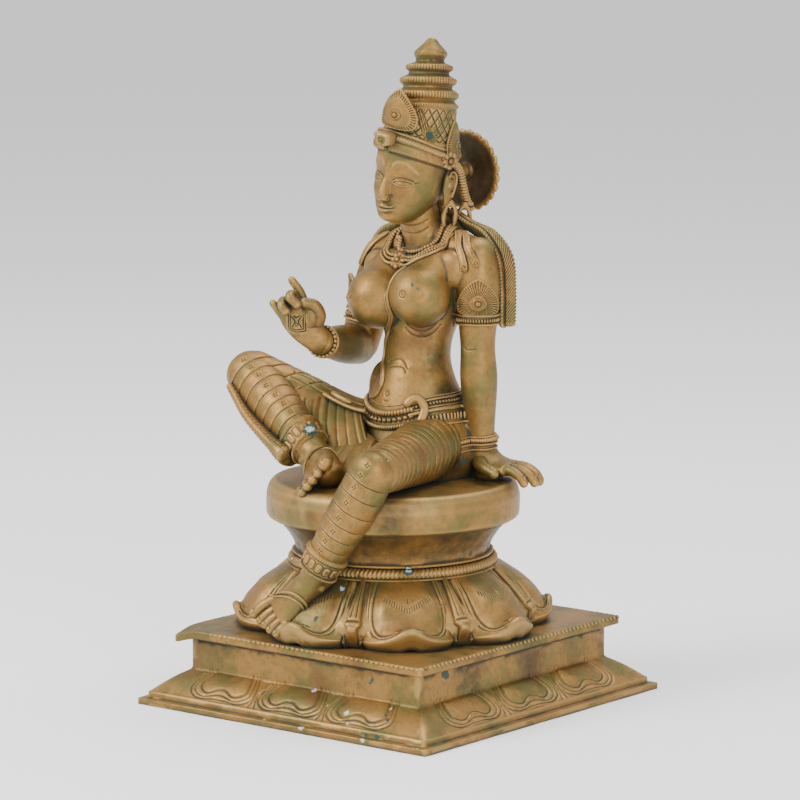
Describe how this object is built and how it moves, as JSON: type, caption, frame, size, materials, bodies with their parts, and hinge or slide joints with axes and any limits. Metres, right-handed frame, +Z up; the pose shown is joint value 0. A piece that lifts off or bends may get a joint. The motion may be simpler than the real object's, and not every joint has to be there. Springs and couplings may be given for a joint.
{
  "type": "seated goddess figure",
  "caption": "Seated goddess in a tall tiered crown on a round lotus seat and square plinth, one hand raised, one hand resting behind, cast in one piece of bronze.",
  "frame": {"origin": "centre of the plinth's underside", "axes": "+Z up, she faces -Y, her left is +X"},
  "size_m": [0.21, 0.219, 0.3777],
  "materials": {
    "bronze": "satin, aged, with dark recesses"
  },
  "bodies": {
    "root": {"parvati_casting": "bronze"}
  },
  "joints": []
}
